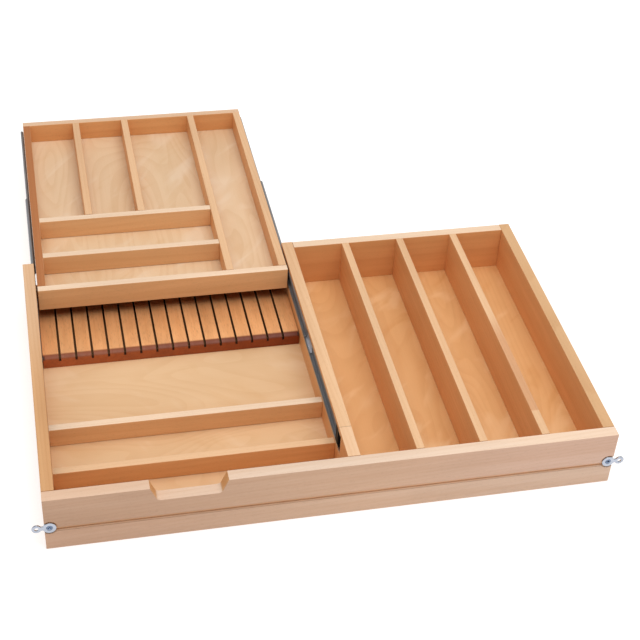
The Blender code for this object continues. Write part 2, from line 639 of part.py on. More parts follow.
def make_slide(side, wall_board, tray_board, carriages):
    """One slide: outer member in the wall's groove, middle member, inner member on the tray."""
    half = SLIDE_HEIGHT / 2
    middle_half = half - STEEL - MIDDLE_STEP
    inner_half = middle_half - STEEL - INNER_STEP
    tray_face = SLIDE_THICKNESS - GAP

    left, right = sorted((side.x(0.0), side.x(GROOVE_DEPTH + CUT_PAST)))
    low = (left, SLIDE_START - SLIDE_ROOM, SLIDE_CENTRE - half - SLIDE_ROOM)
    high = (right, BACK + CUT_PAST, SLIDE_CENTRE + half + SLIDE_ROOM)
    cut(board(f"{side.name}_slide_groove", low, high, None), wall_board)

    name = f"{side.name}_slide_outer"
    outline = channel_outline(side, OUTER_BACK, GROOVE_DEPTH, half, STEEL, LIP)
    outer = place(name, prism_shape(outline, "Y", SLIDE_START, SLIDE_END), (0.0, 0.0, 0.0), steel(name))
    web_face = OUTER_BACK + STEEL
    stations = [SLIDE_START + station for station in SLIDE_SCREW_STATIONS]
    cut(screw_holes(f"{side.name}_outer_screw_holes", side, (-CUT_PAST, CUT_PAST), stations,
                    SCREW_HEAD_RADIUS + SCREW_CLEAR, None), outer)
    cut(screw_holes(f"{side.name}_wall_pilots", side, (-SCREW_LENGTH, CUT_PAST), stations,
                    SCREW_RADIUS + SCREW_CLEAR, None), wall_board)
    for index, y in enumerate(stations):
        screw_at(f"{side.name}_outer_screw_{index + 1}", side, web_face, y, SLIDE_CENTRE, True, True, None)

    name = f"{side.name}_slide_bumper"
    reach = half - STEEL - LIP - GAP
    start = SLIDE_START + BUMPER_START
    seat = side.x(web_face + GAP)
    face = side.x(GROOVE_DEPTH - BUMPER_RECESS)
    end = side.x(GROOVE_DEPTH - BUMPER_RECESS - BUMPER_DROP)
    outline = [(seat, start), (end, start), (face, start + BUMPER_CHAMFER),
               (face, BUMPER_END - BUMPER_CHAMFER), (end, BUMPER_END), (seat, BUMPER_END)]
    shape = prism_shape(outline, "Z", SLIDE_CENTRE - reach, SLIDE_CENTRE + reach)
    place(name, shape, (0.0, 0.0, 0.0), principled(f"{name}_plastic", BLACK_PLASTIC, 0.45))

    name = f"{side.name}_slide_middle"
    outline = channel_outline(side, MIDDLE_BACK, MIDDLE_FRONT, middle_half, STEEL, LIP)
    place(name, prism_shape(outline, "Y", MEMBER_START, SLIDE_END + MIDDLE_TAIL), (0.0, 0.0, 0.0),
          steel(name), carriages["middle"])

    name = f"{side.name}_slide_inner"
    outline = channel_outline(side, tray_face, INNER_TIP, inner_half, STEEL, LIP)
    inner_end = SLIDE_END + INNER_TAIL
    inner = place(name, prism_shape(outline, "Y", MEMBER_START, inner_end), (0.0, 0.0, 0.0), steel(name),
                  carriages["tray"])
    stations = [MEMBER_START + INNER_SCREW_INSET, inner_end - INNER_SCREW_INSET]
    drill = screw_holes(f"{side.name}_inner_screw_holes", side,
                        (tray_face - CUT_PAST, SLIDE_THICKNESS + SCREW_LENGTH), stations,
                        SCREW_RADIUS + SCREW_CLEAR, carriages["tray"])
    cut(drill, inner, tray_board)
    head = tray_face - STEEL - GAP - SCREW_HEAD_HEIGHT
    for index, y in enumerate(stations):
        screw_at(f"{side.name}_inner_screw_{index + 1}", side, head, y, SLIDE_CENTRE, False, False,
                 carriages["tray"])

    make_cages(side, half, middle_half, inner_half, carriages)


def make_cages(side, half, middle_half, inner_half, carriages):
    """The two ball cages, each placed by the middle of its members' overlap in the rest pose."""
    outer_radius = (half - STEEL - middle_half) / 2 - BALL_CLEAR
    overlap = (MEMBER_START + REST_SLIDE * MIDDLE_SHARE + SLIDE_END) / 2
    start = overlap - OUTER_CAGE_LENGTH / 2 - REST_SLIDE * OUTER_CAGE_SHARE - OUTER_CAGE_LEAD
    make_cage(side, f"{side.name}_outer_ball_cage", OUTER_BACK + STEEL + GAP,
              middle_half + outer_radius + BALL_CLEAR, OUTER_BALL_DEPTH, outer_radius,
              OUTER_CAGE_BALLS, start, OUTER_CAGE_LENGTH, carriages["outer_cage"])
    inner_radius = (middle_half - STEEL - inner_half) / 2 - BALL_CLEAR
    middle_end = SLIDE_END + MIDDLE_TAIL + REST_SLIDE * MIDDLE_SHARE
    overlap = (MEMBER_START + REST_SLIDE + middle_end) / 2
    start = overlap - INNER_CAGE_LENGTH / 2 - REST_SLIDE * INNER_CAGE_SHARE
    make_cage(side, f"{side.name}_inner_ball_cage", MIDDLE_BACK + STEEL + GAP,
              inner_half + inner_radius + BALL_CLEAR, INNER_BALL_DEPTH, inner_radius,
              INNER_CAGE_BALLS, start, INNER_CAGE_LENGTH, carriages["inner_cage"])


def main():
    clear_scene()
    boards = make_box()
    make_right_dividers()
    rear_divider_back = make_lower_dividers()
    make_knife_block(rear_divider_back + BLOCK_FRONT_CLEAR)
    for side, sign in (("left", -1.0), ("right", 1.0)):
        make_clip(side, sign)
    carriages = {
        "tray": carriage("tray_carriage", 1.0),
        "middle": carriage("middle_carriage", MIDDLE_SHARE),
        "outer_cage": carriage("outer_cage_carriage", OUTER_CAGE_SHARE),
        "inner_cage": carriage("inner_cage_carriage", INNER_CAGE_SHARE),
    }
    tray_sides = make_tray(carriages["tray"])
    make_slide(SlideSide("left"), boards["left"], tray_sides["left"], carriages)
    make_slide(SlideSide("right"), boards["partition"], tray_sides["right"], carriages)


main()
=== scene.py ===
"""Looks of the two-tier drawer organizer insert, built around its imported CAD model.

Metres, in the frame of the CAD model: +X right, +Y back, +Z up, with the middle of the front board's
underside at the origin.  Every CAD node is stood for by one finished piece: boards with eased edges
and wood grain, rolled steel slides, stamped clips and screws with driven heads.
"""

import json
import math

import bmesh
import bpy
from mathutils import Matrix, Vector

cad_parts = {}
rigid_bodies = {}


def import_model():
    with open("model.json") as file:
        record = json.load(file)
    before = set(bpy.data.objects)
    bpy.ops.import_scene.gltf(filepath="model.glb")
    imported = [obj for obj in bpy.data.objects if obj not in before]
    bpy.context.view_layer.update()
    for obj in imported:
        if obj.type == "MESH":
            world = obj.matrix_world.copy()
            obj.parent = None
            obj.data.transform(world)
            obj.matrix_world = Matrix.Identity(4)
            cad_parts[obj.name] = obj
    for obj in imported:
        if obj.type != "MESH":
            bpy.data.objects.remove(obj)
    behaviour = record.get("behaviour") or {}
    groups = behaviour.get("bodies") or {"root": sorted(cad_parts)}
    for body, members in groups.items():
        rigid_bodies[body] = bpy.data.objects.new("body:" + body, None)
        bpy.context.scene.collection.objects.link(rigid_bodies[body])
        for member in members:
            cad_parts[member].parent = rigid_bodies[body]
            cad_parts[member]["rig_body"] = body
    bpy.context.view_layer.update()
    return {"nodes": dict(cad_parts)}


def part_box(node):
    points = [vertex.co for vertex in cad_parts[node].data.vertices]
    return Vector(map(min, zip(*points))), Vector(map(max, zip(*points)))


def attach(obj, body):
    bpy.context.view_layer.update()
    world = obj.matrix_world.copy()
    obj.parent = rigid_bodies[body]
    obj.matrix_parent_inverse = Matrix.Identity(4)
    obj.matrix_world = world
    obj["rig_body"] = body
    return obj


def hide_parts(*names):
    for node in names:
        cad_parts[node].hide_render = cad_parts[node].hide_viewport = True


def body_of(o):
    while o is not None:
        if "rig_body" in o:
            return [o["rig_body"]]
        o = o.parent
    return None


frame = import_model()
AXES = {"X": 0, "Y": 1, "Z": 2}


# ---------------------------------------------------------------- shader nodes

class Graph:
    """A material under construction.  Values given to a node may be numbers or other sockets."""

    def __init__(self, name):
        self.material = bpy.data.materials.new(name)
        self.material.use_nodes = True
        self.tree = self.material.node_tree
        self.shader = self.tree.nodes["Principled BSDF"]

    def add(self, kind, values=(), **settings):
        node = self.tree.nodes.new("ShaderNode" + kind)
        for key, value in settings.items():
            setattr(node, key, value)
        for key, value in dict(values).items():
            self.feed(node.inputs[key], value)
        return node

    def feed(self, socket, value):
        if isinstance(value, bpy.types.NodeSocket):
            self.tree.links.new(value, socket)
        else:
            socket.default_value = value

    def surface(self, **inputs):
        for key, value in inputs.items():
            self.feed(self.shader.inputs[key.replace("_", " ")], value)

    def math(self, operation, *values, clamp=False):
        node = self.add("Math", operation=operation, use_clamp=clamp)
        for index, value in enumerate(values):
            self.feed(node.inputs[index], value)
        return node.outputs[0]

    def mapped(self, vector, scale=(1.0, 1.0, 1.0), turn=(0.0, 0.0, 0.0), shift=(0.0, 0.0, 0.0)):
        values = {"Vector": vector, "Location": shift, "Rotation": turn, "Scale": scale}
        return self.add("Mapping", values).outputs[0]

    def noise(self, vector, scale, detail=2.0, roughness=0.5, distortion=0.0):
        """Noise from 0 to 1.  scale is in cycles per metre, one number or one for each axis."""
        if isinstance(scale, tuple):
            vector, scale = self.mapped(vector, scale), 1.0
        values = {"Vector": vector, "Scale": scale, "Detail": detail, "Roughness": roughness,
                  "Distortion": distortion}
        return self.add("TexNoise", values).outputs["Fac"]

    def ramp(self, value, low, high, out_low=0.0, out_high=1.0):
        """value from low to high becomes out_low to out_high, and stays there beyond."""
        values = {"Value": value, "From Min": low, "From Max": high, "To Min": out_low, "To Max": out_high}
        return self.add("MapRange", values, interpolation_type="SMOOTHSTEP").outputs["Result"]

    def axes(self, kind):
        """X, Y and Z of the "Object" place or the "Normal" at each point of the piece."""
        return self.add("SeparateXYZ", {"Vector": self.add("TexCoord").outputs[kind]}).outputs

    def upward(self):
        """1 on faces that look up, 0 on the sides."""
        return self.ramp(self.axes("Normal")["Z"], 0.35, 0.95)

    def mix(self, factor, first, second, blend="MIX"):
        node = self.add("Mix", data_type="RGBA", blend_type=blend)
        self.feed(node.inputs[0], factor)
        self.feed(node.inputs[6], first)
        self.feed(node.inputs[7], second)
        return node.outputs[2]

    def tinted(self, colour, tint):
        return self.mix(1.0, colour, tint, "MULTIPLY")

    def scaled(self, colour, value):
        """A colour times a number socket."""
        node = self.add("VectorMath", operation="SCALE")
        self.feed(node.inputs[0], colour[:3] if isinstance(colour, tuple) else colour)
        self.feed(node.inputs["Scale"], value)
        return node.outputs[0]

    def bump(self, height, strength, distance):
        values = {"Height": height, "Strength": strength, "Distance": distance}
        self.surface(Normal=self.add("Bump", values).outputs["Normal"])


def rgb(red, green, blue):
    """A display colour from 0 to 255 as a linear shader colour."""
    linear = []
    for part in (red, green, blue):
        part /= 255.0
        linear.append(part / 12.92 if part <= 0.04045 else ((part + 0.055) / 1.055) ** 2.4)
    return (*linear, 1.0)


WHITE = (1.0, 1.0, 1.0, 1.0)
BLACK = (0.006, 0.006, 0.007, 1.0)
# cream tone of the tops of boards whose grain runs left to right, paler than the tan tops as painted sheen
CREAM_SHEEN_TOP = rgb(230, 202, 174)
TAN_TOP = rgb(221, 180, 139)
BROWN_TOP = rgb(172, 108, 60)
# side tones, more orange than the tops as painted shade
ORANGE_FACE = rgb(224, 166, 110)
TRAY_FACE = rgb(227, 177, 126)
BLOCK_TOP = rgb(228, 165, 110)
BLOCK_FRONT_LEFT = rgb(174, 92, 48)
# darker than the left end as painted shade by the partition
BLOCK_FRONT_RIGHT_SHADED = rgb(134, 54, 8)
WOOD_SHADE = (0.84, 0.74, 0.64, 1.0)
PLY_SHADE = (0.84, 0.74, 0.62, 1.0)
ZINC = rgb(134, 135, 138)
BRIGHT_ZINC = rgb(196, 200, 208)
CLIP_ZINC = rgb(176, 182, 194)


# ---------------------------------------------------------------- wood

RING_WIDTH = 0.0052
RING_WANDER = 1.6
GROOVE_DROP = 0.0615            # of the front board's groove, below the board's top
BOARD_SKIN = (0.0016, 0.0030)   # depth over which the front board's own tones end; front faces set back deeper take the orange side tone as painted shade
PARTITION_JOINT = 0.0705        # place along Y
BLOCK_ROUND = 0.006             # of the knife block's front edge, in the CAD model
ROUND_STRETCH = 2.0
KERF_PITCH = 0.0259
KERF_WIDTH = 0.0036
GRAIN_TURNS = {"X": (0.0, 0.0, 0.0), "Y": (0.0, 0.0, -math.pi / 2), "Z": (0.0, math.pi / 2, 0.0)}


def grain_space(graph, grain, seed):
    """Object coordinates turned so that X runs along the grain, moved to another part of the tree."""
    coordinates = graph.add("TexCoord")
    shift = (0.37 * seed, 0.113 * seed, 0.071 * seed)
    point = graph.mapped(coordinates.outputs["Object"], turn=GRAIN_TURNS[grain], shift=shift)
    normal = graph.mapped(coordinates.outputs["Normal"], turn=GRAIN_TURNS[grain])
    return point, normal


def end_grain(graph, normal):
    """1 on faces cut across the grain, 0 on faces along it."""
    split = graph.add("SeparateXYZ", {"Vector": normal})
    return graph.ramp(graph.math("ABSOLUTE", split.outputs["X"]), 0.6, 0.85)


def growth_rings(graph, point, seed):
    """Latewood lines: rings round a pith that lies outside the board, at a small angle to it."""
    tilt = (0.0, math.radians(2.2 + 0.6 * math.sin(seed)), math.radians(1.5 * math.cos(2.3 * seed)))
    pith = (0.0, 0.055 + 0.02 * math.sin(1.7 * seed), 0.06 + 0.02 * math.cos(seed))
    turned = graph.mapped(point, turn=tilt, shift=pith)
    flat = graph.add("VectorMath", operation="MULTIPLY")
    graph.feed(flat.inputs[0], turned)
    graph.feed(flat.inputs[1], (0.0, 1.0, 1.0))
    distance = graph.add("VectorMath", operation="LENGTH")
    graph.feed(distance.inputs[0], flat.outputs[0])
    warp = graph.noise(point, (2.2, 16.0, 16.0), detail=2.0)
    phase = graph.math("MULTIPLY_ADD", distance.outputs["Value"], 1.0 / RING_WIDTH,
                       graph.math("MULTIPLY", warp, RING_WANDER))
    wave = graph.math("FRACT", phase)
    rise = graph.ramp(wave, 0.35, 0.92)
    fall = graph.ramp(wave, 0.93, 1.0, 1.0, 0.0)
    return graph.math("MULTIPLY", rise, fall)


def beech(name, grain, top, side, seed, figure, zone):
    """Steamed beech: faint growth lines, fine fibres and short brown ray flecks under satin lacquer.

    top is the tone of faces that look up, side that of the others; the split paints overhead light
    and sheen on the tops and shade on the sides.  zone may change that tone over a part of the piece.
    """
    graph = Graph(name)
    point, normal = grain_space(graph, grain, seed)
    rings = growth_rings(graph, point, seed)
    streaks = graph.noise(point, (1.3, 42.0, 42.0), detail=3.0, roughness=0.55)
    fibres = graph.noise(point, (24.0, 700.0, 700.0), detail=2.0, roughness=0.6)
    clouds = graph.noise(point, (3.2, 11.0, 11.0), detail=2.0, distortion=0.6)
    flecks = graph.ramp(graph.noise(point, (190.0, 1300.0, 1300.0), detail=1.0), 0.60, 0.74)

    # painted light and shade: faces that look up take the top tone, the others the side tone
    base = graph.mix(graph.upward(), side, top)
    if zone:
        base = zone(graph, base)
    dark = graph.tinted(base, WOOD_SHADE)
    depth = graph.math("MULTIPLY", graph.ramp(streaks, 0.3, 0.72), 0.50)
    depth = graph.math("MULTIPLY_ADD", rings, figure * 0.55, depth)
    depth = graph.math("MULTIPLY_ADD", fibres, 0.35, depth)
    colour = graph.mix(graph.math("SUBTRACT", depth, 0.15, clamp=True), base, dark)
    shade = graph.ramp(clouds, 0.3, 0.7, 1.07, 0.98)
    shade = graph.math("MULTIPLY_ADD", flecks, -0.12, shade)
    across = end_grain(graph, normal)
    shade = graph.math("MULTIPLY", shade, graph.math("MULTIPLY_ADD", across, -0.16, 1.0))
    graph.surface(Base_Color=graph.scaled(colour, shade))
    graph.surface(Roughness=graph.ramp(fibres, 0.2, 0.8, 0.42, 0.54))
    graph.surface(Coat_Weight=0.10, Coat_Roughness=0.32, Specular_IOR_Level=0.3)
    height = graph.math("MULTIPLY_ADD", flecks, -0.6, fibres)
    graph.bump(height, 0.12, 0.0002)
    return graph.material


def tones_along(graph, axis, stops):
    """A colour that runs through the tones of (place, colour) stops along an axis."""
    place = graph.axes("Object")[axis]
    colour = stops[0][1]
    for (start, _), (end, tone) in zip(stops, stops[1:]):
        colour = graph.mix(graph.ramp(place, start, end), colour, tone)
    return colour


def front_board_zone(graph, base):
    """The front board is paler towards its right, and palest in the strip under its groove."""
    low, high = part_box("front_board")
    groove = high.z - GROOVE_DROP
    places = (-0.38, 0.0, 0.38)
    top = tones_along(graph, "X", list(zip(places, (rgb(217, 183, 156), rgb(223, 199, 178),
                                                    rgb(230, 204, 180)))))
    upper = tones_along(graph, "X", list(zip(places, (rgb(188, 151, 124), rgb(201, 164, 136),
                                                      rgb(205, 170, 149)))))
    lower = tones_along(graph, "X", list(zip(places, (rgb(197, 160, 134), rgb(204, 169, 142),
                                                      rgb(208, 177, 154)))))
    place = graph.axes("Object")
    face = graph.mix(graph.ramp(place["Z"], groove - 0.0008, groove + 0.0008), lower, upper)
    # painted shade: front faces set back deeper than BOARD_SKIN, such as the floor of the groove's slot,
    # take the orange side tone
    recess_shade = graph.ramp(place["Y"], low.y + BOARD_SKIN[0], low.y + BOARD_SKIN[1])
    face = graph.mix(recess_shade, face, ORANGE_FACE)
    forward = graph.ramp(graph.axes("Normal")["Y"], -0.6, -0.2, 1.0, 0.0)
    colour = graph.mix(forward, base, face)
    # painted light and sheen: faces that look up, above the groove, take the paler top tones
    above = graph.ramp(place["Z"], groove, high.z - 0.03)
    return graph.mix(graph.math("MULTIPLY", graph.upward(), above), colour, top)


def partition_zone(graph, base):
    """The partition's front length is a paler piece, glued on with a hairline joint."""
    place = graph.axes("Object")["Y"]
    paler = graph.tinted(base, (1.04, 1.07, 1.14, 1.0))
    colour = graph.mix(graph.ramp(place, PARTITION_JOINT - 0.0002, PARTITION_JOINT + 0.0002), paler, base)
    away = graph.math("ABSOLUTE", graph.math("SUBTRACT", place, PARTITION_JOINT))
    return graph.scaled(colour, graph.ramp(away, 0.0002, 0.0010, 0.62, 1.0))


def third_divider_zone(graph, base):
    """This divider's top is redder over its front half, up to a paler length at its very front."""
    redder = (0.88, 0.74, 0.66, 1.0)
    tint = tones_along(graph, "Y", ((0.060, WHITE), (0.062, redder), (0.22, redder), (0.30, WHITE)))
    return graph.tinted(base, graph.mix(graph.upward(), WHITE, tint))


def left_side_zone(graph, base):
    """The left side board reddens towards its front end."""
    tint = tones_along(graph, "Y", ((0.15, (0.84, 0.74, 0.60, 1.0)), (0.45, (0.98, 1.0, 1.05, 1.0))))
    return graph.tinted(base, tint)


def birch_ply(name, grain, tone, seed, contrast, blotch):
    """Rotary-cut birch veneer: wandering contour lines, shimmering patches and pale curly blotches."""
    graph = Graph(name)
    point, _ = grain_space(graph, grain, seed)
    hills = graph.noise(point, (1.9, 7.0, 7.0), detail=1.5, roughness=0.45, distortion=0.9)
    lines = graph.math("FRACT", graph.math("MULTIPLY", hills, 21.0))
    line = graph.math("MULTIPLY", graph.ramp(lines, 0.30, 0.92), graph.ramp(lines, 0.94, 1.0, 1.0, 0.0))
    shimmer = graph.noise(point, (5.0, 11.0, 11.0), detail=2.0, roughness=0.5, distortion=1.0)
    patches = graph.noise(point, (2.1, 4.2, 4.2), detail=1.0, distortion=0.5)
    fibres = graph.noise(point, (16.0, 520.0, 520.0), detail=2.0, roughness=0.6)

    dark = graph.tinted(tone, PLY_SHADE)
    depth = graph.math("MULTIPLY", line, 0.26 * contrast)
    depth = graph.math("MULTIPLY_ADD", graph.ramp(shimmer, 0.34, 0.68), 0.34 * contrast, depth)
    depth = graph.math("MULTIPLY_ADD", fibres, 0.26, depth)
    depth = graph.math("MULTIPLY_ADD", graph.ramp(patches, 0.35, 0.65), 0.24 * contrast, depth)
    colour = graph.mix(graph.math("SUBTRACT", depth, 0.1, clamp=True), tone, dark)
    aslant = graph.mapped(point, turn=(0.0, 0.0, math.radians(38.0)))
    curl = graph.noise(aslant, (7.5, 19.0, 12.0), detail=2.5, roughness=0.6, distortion=0.7)
    paler = graph.tinted(tone, (1.05, 1.14, 1.30, 1.0))
    colour = graph.mix(graph.ramp(curl, 0.53, 0.70, 0.0, 0.60 * blotch), colour, paler)
    browner = graph.tinted(colour, (0.92, 0.84, 0.72, 1.0))
    colour = graph.mix(graph.ramp(curl, 0.22, 0.44, 0.8 * blotch, 0.0), colour, browner)
    graph.surface(Base_Color=graph.scaled(colour, graph.ramp(patches, 0.3, 0.7, 1.06, 1.0)))
    graph.surface(Roughness=graph.ramp(shimmer, 0.3, 0.7, 0.40, 0.50))
    graph.surface(Coat_Weight=0.12, Coat_Roughness=0.30, Specular_IOR_Level=0.3)
    graph.bump(fibres, 0.08, 0.00015)
    return graph.material


def block_wood(name, low, high):
    """Reddish hardwood with its grain front to back, each strip between two kerfs its own tone.

    One kerf is in the middle, and the walls inside every kerf are darkened as painted shade.
    """
    graph = Graph(name)
    point, _ = grain_space(graph, "Y", 3.0)
    place = graph.axes("Object")
    middle = (low.x + high.x) / 2
    count = graph.math("MULTIPLY_ADD", place["X"], 1.0 / KERF_PITCH, -middle / KERF_PITCH)
    strip = graph.math("FLOOR", count)
    tone = graph.add("TexWhiteNoise", {"W": graph.math("ADD", strip, 11.0)}, noise_dimensions="1D")
    aside = graph.math("ABSOLUTE", graph.math("SUBTRACT", count, graph.math("ROUND", count)))
    wall = KERF_WIDTH / KERF_PITCH
    in_kerf = graph.ramp(aside, 0.50 * wall, 0.56 * wall, 1.0, 0.0)
    below = graph.ramp(place["Z"], high.z - 0.0012, high.z - 0.0003, 1.0, 0.0)
    behind = graph.ramp(place["Y"], low.y + 0.0002, low.y + 0.0008)
    # painted shade inside the kerfs, below the block's top and behind its front face
    kerf_shade = graph.math("MULTIPLY", graph.math("MULTIPLY", in_kerf, below), behind)
    streaks = graph.noise(point, (6.0, 130.0, 130.0), detail=3.0, roughness=0.6, distortion=0.3)
    pores = graph.ramp(graph.noise(point, (110.0, 900.0, 900.0), detail=1.0), 0.56, 0.72)
    clouds = graph.noise(point, (12.0, 22.0, 22.0), detail=2.0, distortion=0.8)
    # painted shade: the front tone darkens towards the right end, by the partition
    front = tones_along(graph, "X", ((low.x, BLOCK_FRONT_LEFT), (high.x, BLOCK_FRONT_RIGHT_SHADED)))
    # painted shade on the front round, darkest where it faces up
    front = graph.scaled(front, graph.ramp(graph.axes("Normal")["Z"], 0.05, 0.80, 1.0, 0.62))
    base = graph.mix(graph.ramp(place["Y"], low.y + 0.0070, low.y + 0.0112), front, BLOCK_TOP)
    dark = graph.tinted(base, WOOD_SHADE)
    depth = graph.math("MULTIPLY_ADD", graph.ramp(streaks, 0.3, 0.7), 0.6,
                       graph.math("MULTIPLY", tone.outputs["Value"], 0.35))
    colour = graph.mix(graph.math("SUBTRACT", depth, 0.15, clamp=True), base, dark)
    shade = graph.math("MULTIPLY_ADD", pores, -0.20, graph.ramp(clouds, 0.3, 0.7, 1.10, 0.94))
    # darken the kerfs with the painted shade
    shade = graph.math("MULTIPLY", shade, graph.math("MULTIPLY_ADD", kerf_shade, -0.72, 1.0))
    graph.surface(Base_Color=graph.scaled(colour, shade))
    graph.surface(Roughness=graph.ramp(streaks, 0.3, 0.7, 0.42, 0.55))
    graph.surface(Coat_Weight=0.10, Coat_Roughness=0.35, Specular_IOR_Level=0.3)
    graph.bump(graph.math("MULTIPLY_ADD", pores, -0.8, streaks), 0.15, 0.0002)
    return graph.material


# ---------------------------------------------------------------- metal and plastic

def plated_steel(name, colour, roughness, grain="Y", mottle=0.10, metallic=1.0):
    """Zinc-plated sheet: fine rolling lines along it and a faint cloudy tone."""
    graph = Graph(name)
    point, _ = grain_space(graph, grain, 1.0)
    lines = graph.noise(point, (6.0, 1800.0, 1800.0), detail=2.0)
    clouds = graph.noise(point, (30.0, 90.0, 90.0), detail=3.0, roughness=0.6)
    cloudy = graph.ramp(clouds, 0.3, 0.7, 0.95 - mottle, 0.95 + mottle)
    shade = graph.math("MULTIPLY_ADD", lines, 0.10, cloudy)
    graph.surface(Base_Color=graph.scaled(colour, shade))
    graph.surface(Roughness=graph.math("MULTIPLY_ADD", clouds, 0.14, roughness - 0.07))
    graph.surface(Metallic=metallic)
    graph.bump(lines, 0.06, 0.0001)
    return graph.material


def moulded_plastic(name, colour):
    """Fine-grained moulded plastic, rubbed duller in places."""
    graph = Graph(name)
    point = graph.add("TexCoord").outputs["Object"]
    skin = graph.noise(point, 1500.0, detail=2.0)
    wear = graph.noise(point, 160.0, detail=2.0)
    graph.surface(Base_Color=graph.scaled(colour, graph.ramp(wear, 0.3, 0.7, 0.8, 1.3)))
    graph.surface(Roughness=graph.ramp(wear, 0.3, 0.7, 0.50, 0.66), Specular_IOR_Level=0.25)
    graph.bump(skin, 0.10, 0.0001)
    return graph.material


# ---------------------------------------------------------------- pieces

WELD = 2e-6                     # vertices this close are one
ON_SIDE = 2e-5                  # how near a box's side a vertex counts as in it
SCOOP_REACH = 0.030             # a little more than the hand scoop's depth


def cad_shape(node):
    """A welded copy of a CAD node's mesh, its flat faces whole again."""
    shape = bmesh.new()
    shape.from_mesh(frame["nodes"][node].data)
    bmesh.ops.remove_doubles(shape, verts=shape.verts, dist=WELD)
    bmesh.ops.dissolve_limit(shape, angle_limit=math.radians(0.5), verts=shape.verts, edges=shape.edges)
    return shape


def piece(node, shape, material, sharp=35.0):
    """Turn a shape into the finished piece that stands for a CAD node and moves with its body."""
    bmesh.ops.recalc_face_normals(shape, faces=shape.faces)
    mesh = bpy.data.meshes.new(f"{node}_finished")
    shape.to_mesh(mesh)
    shape.free()
    mesh.materials.append(material)
    mesh.shade_smooth()
    mesh.set_sharp_from_angle(angle=math.radians(sharp))
    item = bpy.data.objects.new(mesh.name, mesh)
    bpy.context.scene.collection.objects.link(item)
    weighted = item.modifiers.new("weighted_normals", "WEIGHTED_NORMAL")
    weighted.keep_sharp = True
    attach(item, body_of(frame["nodes"][node])[0])
    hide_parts(node)
    return item


def round_edges(shape, radius, segments, chosen):
    """Round the sharp edges that chosen() picks."""
    sharp = math.radians(30.0)
    edges = [edge for edge in shape.edges
             if edge.is_manifold and edge.calc_face_angle() > sharp and chosen(edge)]
    bmesh.ops.bevel(shape, geom=edges, offset=radius, offset_type="OFFSET", segments=segments,
                    profile=0.5, affect="EDGES", clamp_overlap=False)


def box_sides(edge, low, high):
    """The sides of the box that an edge lies in, as (axis, 'low' or 'high')."""
    sides = []
    for axis in range(3):
        for key, limit in (("low", low[axis]), ("high", high[axis])):
            if all(abs(vertex.co[axis] - limit) < ON_SIDE for vertex in edge.verts):
                sides.append((axis, key))
    return sides


def eased_board(node, grain, material, radius=0.0012, ends=0.0003, also=None):
    """A board: its edges along the grain are rounded, those at its ends only broken."""
    shape = cad_shape(node)
    low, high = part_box(node)
    along = AXES[grain]

    def long_edge(edge):
        sides = box_sides(edge, low, high)
        if also and also(edge):
            return True
        return len(sides) == 2 and along not in [axis for axis, _ in sides]

    def end_edge(edge):
        return len(box_sides(edge, low, high)) == 2

    round_edges(shape, radius, 3, long_edge)
    round_edges(shape, ends, 1, lambda edge: end_edge(edge) and edge.calc_length() > 4 * radius)
    piece(node, shape, material)


# node: grain axis, tone of its top (with painted light), tone of its sides (with painted shade), seed,
# strength of the growth lines, and the function that changes its tones in places
BOARDS = {
    "front_board": ("X", CREAM_SHEEN_TOP, ORANGE_FACE, 1.0, 0.28, front_board_zone),
    "left_side_board": ("Y", TAN_TOP, ORANGE_FACE, 2.0, 0.5, left_side_zone),
    "right_side_board": ("Y", rgb(215, 173, 128), ORANGE_FACE, 3.0, 0.5, None),
    "center_partition": ("Y", TAN_TOP, ORANGE_FACE, 4.0, 0.4, partition_zone),
    "left_back_board": ("X", CREAM_SHEEN_TOP, ORANGE_FACE, 5.0, 0.5, None),
    "right_back_board": ("X", CREAM_SHEEN_TOP, ORANGE_FACE, 6.0, 0.25, None),
    "right_bay_divider_1": ("Y", TAN_TOP, ORANGE_FACE, 7.0, 0.3, None),
    "right_bay_divider_2": ("Y", TAN_TOP, ORANGE_FACE, 8.0, 0.3, None),
    "right_bay_divider_3": ("Y", TAN_TOP, ORANGE_FACE, 9.0, 0.3, third_divider_zone),
    "lower_front_divider": ("X", TAN_TOP, ORANGE_FACE, 10.0, 0.3, None),
    "lower_rear_divider": ("X", CREAM_SHEEN_TOP, TRAY_FACE, 11.0, 0.3, None),
    "tray_front_board": ("X", CREAM_SHEEN_TOP, TRAY_FACE, 12.0, 0.25, None),
    "tray_back_board": ("X", rgb(219, 184, 152), ORANGE_FACE, 13.0, 0.3, None),
    "tray_left_board": ("Y", BROWN_TOP, ORANGE_FACE, 14.0, 0.5, None),
    "tray_right_board": ("Y", TAN_TOP, ORANGE_FACE, 15.0, 0.5, None),
    "tray_long_divider": ("Y", TAN_TOP, ORANGE_FACE, 16.0, 0.3, None),
    "tray_left_rear_divider": ("Y", TAN_TOP, ORANGE_FACE, 17.0, 0.3, None),
    "tray_right_rear_divider": ("Y", TAN_TOP, ORANGE_FACE, 18.0, 0.3, None),
    "tray_front_cross_divider": ("X", CREAM_SHEEN_TOP, TRAY_FACE, 19.0, 0.3, None),
    "tray_rear_cross_divider": ("X", CREAM_SHEEN_TOP, TRAY_FACE, 20.0, 0.3, None),
}

# node: grain axis, tone, seed, strength of the figure, strength of the blotches
PANELS = {
    "left_floor_panel": ("X", rgb(222, 184, 142), 1.3, 0.7, 0.5),
    "right_floor_panel": ("Y", rgb(221, 171, 116), 2.6, 0.8, 1.4),
    "tray_bottom_panel": ("Y", rgb(222, 193, 158), 3.9, 0.9, 0.8),
}


